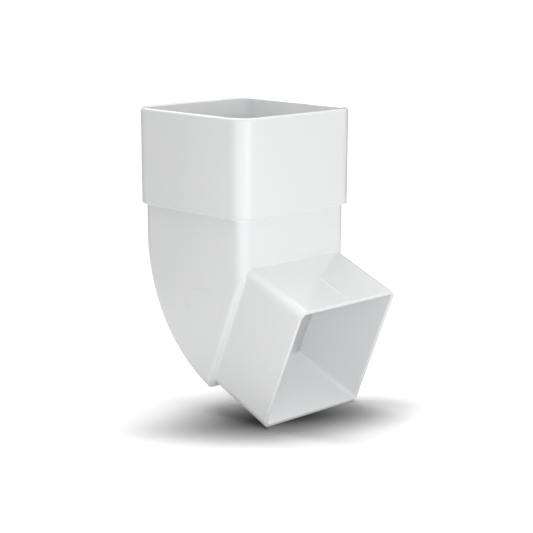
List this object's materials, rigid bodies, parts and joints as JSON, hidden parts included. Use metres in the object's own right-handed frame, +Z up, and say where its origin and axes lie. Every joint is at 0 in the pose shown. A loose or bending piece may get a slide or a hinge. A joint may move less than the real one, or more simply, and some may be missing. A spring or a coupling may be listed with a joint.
{
  "type": "downpipe offset bend",
  "caption": "Square downpipe offset bend: a socket on top, a curved body and a slanted spigot that slips into the next pipe.",
  "frame": {"origin": "on the socket's axis, at the pipe stop that the upper pipe's end rests on", "axes": "+Z up the socket's axis, +X towards the side that the spigot leaves on, +Y across; the part is the same on both sides of the XZ plane"},
  "size_m": [0.1002, 0.0698, 0.133],
  "materials": {
    "gloss_white": "injection-moulded gloss white plastic"
  },
  "bodies": {
    "root": {"offset_bend": "gloss_white"}
  },
  "joints": []
}
